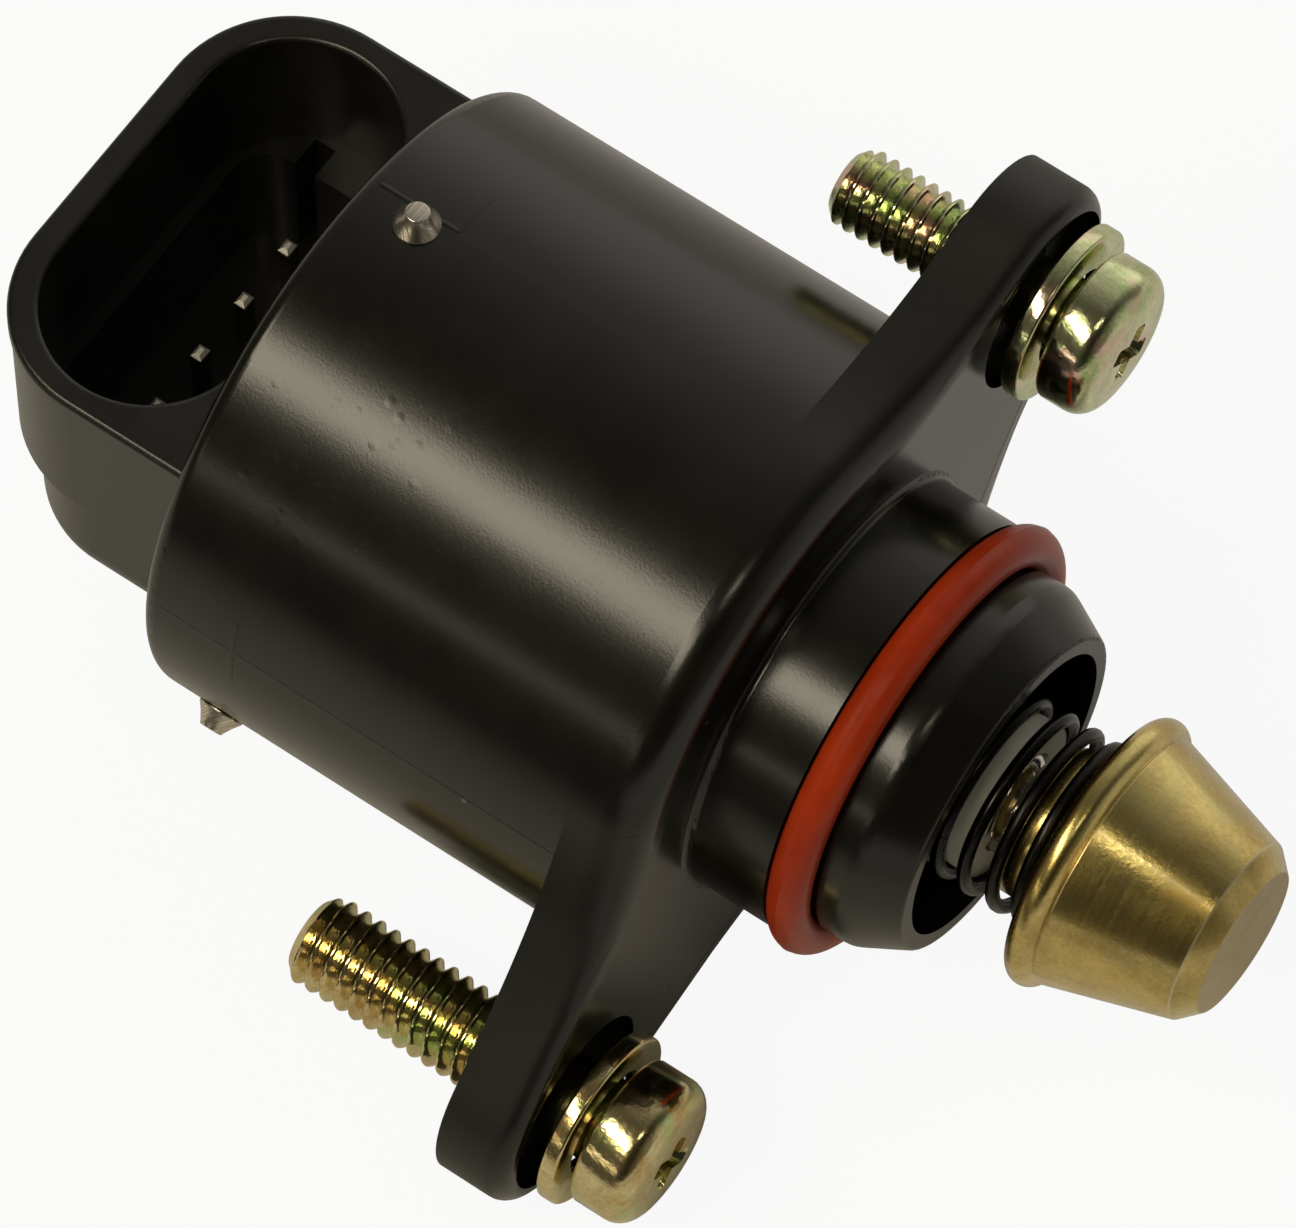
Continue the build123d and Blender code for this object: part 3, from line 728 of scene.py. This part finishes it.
screw = fastener("upper_screw", upper_place, crest=2.1, depth=0.42, pitch=0.75, tip=-11.3, seat=2.15,
                 crown=4.85, **head)
settle(screw, upper_zinc, "body", "fastener_zinc", "screw_upper")
screw = fastener("lower_screw", lower_place, crest=2.4, depth=0.46, pitch=0.86, tip=-15.6, seat=2.4,
                 crown=5.5, **head)
settle(screw, lower_zinc, "body", "fastener_gold", "screw_lower")
washer = flat_washer("upper_washer", upper_place, start=0.7, bore=2.55)
settle(washer, upper_zinc, "body", "fastener_zinc", "washer_upper")
apply_modifier(washer, "WEIGHTED_NORMAL", keep_sharp=True)
washer = flat_washer("lower_washer", lower_place, start=0.95, bore=2.85)
settle(washer, lower_zinc, "body", "fastener_gold", "washer_lower")
apply_modifier(washer, "WEIGHTED_NORMAL", keep_sharp=True)

# Floor, world and lamps: a white sheet under the valve, a bright side behind it, a weak window beyond the
# pintle and a dark room in front. One long soft box hangs overhead, with a low, weak strip of light and a
# small box over the nose.
bpy.ops.object.select_all(action="DESELECT")
floor_size = 3.0
lowest = cad_box[0][2]
bpy.ops.mesh.primitive_plane_add(size=floor_size, location=(0, 0, lowest))
sheet = bpy.context.object
sheet.name = "floor_sheet"
material, tree, shader = new_material("white_sheet", Base_Color=(0.9, 0.9, 0.9, 1), Roughness=0.9)
# Painted reflections: to glossy and transmission rays the sheet glows warm, brighter behind and beside the
# valve and dim far in front; close in front it keeps its own lit shading. To the camera it is evenly white.
path = add_node(tree, "LightPath").outputs
mirrored = calculate(tree, "MAXIMUM", path["Is Glossy Ray"], path["Is Transmission Ray"])
place = surface_place(tree)
behind, beside, in_front = (0.002, 0.02), (0.03, 0.06), (-0.13, -0.05)
dim, lit, white_share = 0.05, 0.5, 0.92
warm, white = (1, 0.92, 0.8, 1), (1, 1, 1, 1)
bright = calculate(tree, "MAXIMUM", spread(tree, place["Y"], *behind), spread(tree, place["X"], *beside))
shown = calculate(tree, "MAXIMUM", spread(tree, place["Y"], *in_front, 1.0, 0.0), bright)
share = calculate(tree, "MAXIMUM", calculate(tree, "MULTIPLY", path["Is Camera Ray"], white_share),
                  calculate(tree, "MULTIPLY", mirrored, shown))
level = spread(tree, bright, 0, 1, dim, lit)
strength = calculate(tree, "MAXIMUM", level, path["Is Camera Ray"])
tone = mix_colour(tree, path["Is Camera Ray"], warm, white)
painted_glow = add_node(tree, "Emission", None, Color=tone, Strength=strength)
blend = add_node(tree, "MixShader", None, _0=share, _1=shader.outputs[0], _2=painted_glow.outputs[0])
tree.links.new(blend.outputs[0], tree.nodes["Material Output"].inputs["Surface"])
sheet.data.materials.append(material)

world = bpy.data.worlds.new("studio")
bpy.context.scene.world = world
world.use_nodes = True
tree = world.node_tree
direction = add_node(tree, "TexCoord").outputs["Generated"]
sides = add_node(tree, "SeparateXYZ", None, Vector=direction).outputs
ramp = add_node(tree, "ValToRGB", None, Fac=sides["Y"])
ramp.color_ramp.elements[0].position = 0.0
ramp.color_ramp.elements[0].color = (0.07, 0.065, 0.05, 1)
ramp.color_ramp.elements[1].position = 0.92
ramp.color_ramp.elements[1].color = (0.9, 0.86, 0.76, 1)
for position, level in ((0.35, 0.2), (0.75, 0.5)):
    stop = ramp.color_ramp.elements.new(position)
    stop.color = (level, level * 0.95, level * 0.84, 1)
dimmed, window = 0.3, 2.0
fading = calculate(tree, "ADD", spread(tree, sides["X"], 0.1, 0.5, 1.0, dimmed),
                   spread(tree, sides["X"], 0.7, 0.95, 0.0, window))
room = add_node(tree, "Background", None, Color=ramp.outputs[0], Strength=fading)
paper = add_node(tree, "Background", None, Color=(1, 1, 1, 1))
blend = add_node(tree, "MixShader", None, _0=add_node(tree, "LightPath").outputs["Is Camera Ray"],
                 _1=room.outputs[0], _2=paper.outputs[0])
tree.links.new(blend.outputs[0], tree.nodes["World Output"].inputs["Surface"])
tree.nodes.remove(tree.nodes["Background"])


def soft_box(name, toward, width, length, power):
    """A rectangular, slightly warm lamp that faces the valve from a direction."""
    lamp = bpy.data.lights.new(name, "AREA")
    lamp.shape = "RECTANGLE"
    lamp.size, lamp.size_y = width, length
    lamp.energy = power
    lamp.color = (1.0, 0.9, 0.68)
    holder = bpy.data.objects.new(name, lamp)
    bpy.context.collection.objects.link(holder)
    holder.location = Vector(toward).normalized() * lamp_distance
    holder.rotation_euler = Vector(toward).to_track_quat("Z", "Y").to_euler()


lamp_distance = 0.8
soft_box("key_box", (-0.27, -0.515, 0.81), width=0.6, length=0.2, power=3.0)
soft_box("low_box", (-0.27, -0.92, 0.28), width=0.6, length=0.05, power=0.2)
soft_box("small_box", (0.302, -0.205, 0.931), width=0.16, length=0.06, power=0.22)

# Camera: a long lens from above the nose's side, as in the photograph.
# Its place and focal length make the part's edges fall on those in the photograph.
azimuth, elevation = radians(35.2), radians(62.0)
distance = 0.55
aim = Vector((-8.34, -2.47, 1.48)) * MM
focal_pixels, frame_pixels = 11550, 1296
eye = bpy.data.cameras.new("camera")
eye.sensor_width = 36.0
eye.lens = eye.sensor_width * focal_pixels / frame_pixels
eye.clip_end = 10.0
camera = bpy.data.objects.new("camera", eye)
bpy.context.collection.objects.link(camera)
toward = Vector((sin(azimuth) * cos(elevation), -cos(azimuth) * cos(elevation), sin(elevation)))
camera.location = aim + toward * distance
camera.rotation_euler = toward.to_track_quat("Z", "Y").to_euler()
bpy.context.scene.camera = camera
bpy.context.scene.view_settings.view_transform = "Standard"
